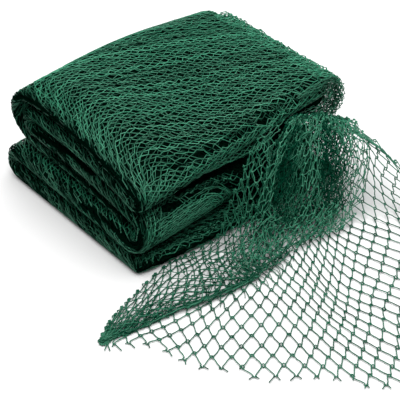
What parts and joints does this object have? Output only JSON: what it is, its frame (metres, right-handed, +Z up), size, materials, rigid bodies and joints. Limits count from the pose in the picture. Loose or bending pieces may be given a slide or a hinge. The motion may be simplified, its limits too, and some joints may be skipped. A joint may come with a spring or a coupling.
{
  "type": "folded garden netting",
  "caption": "Knotted diamond-mesh garden netting folded into a two-lobed packet, with a loose end pulled out from under the top fold and spread flat on the surface.",
  "frame": {"origin": "centre of the part's bounding box, on the surface it rests on", "axes": "+Z up, +X along the packet's fold lines, +Y along the runs of the folded section, from the packet's front, where the loose end comes out, to its back"},
  "size_m": [0.3384, 0.474, 0.11],
  "materials": {
    "netting": "satin dark green polyethylene twine, knotted"
  },
  "bodies": {
    "root": {"netting": "netting"}
  },
  "joints": []
}
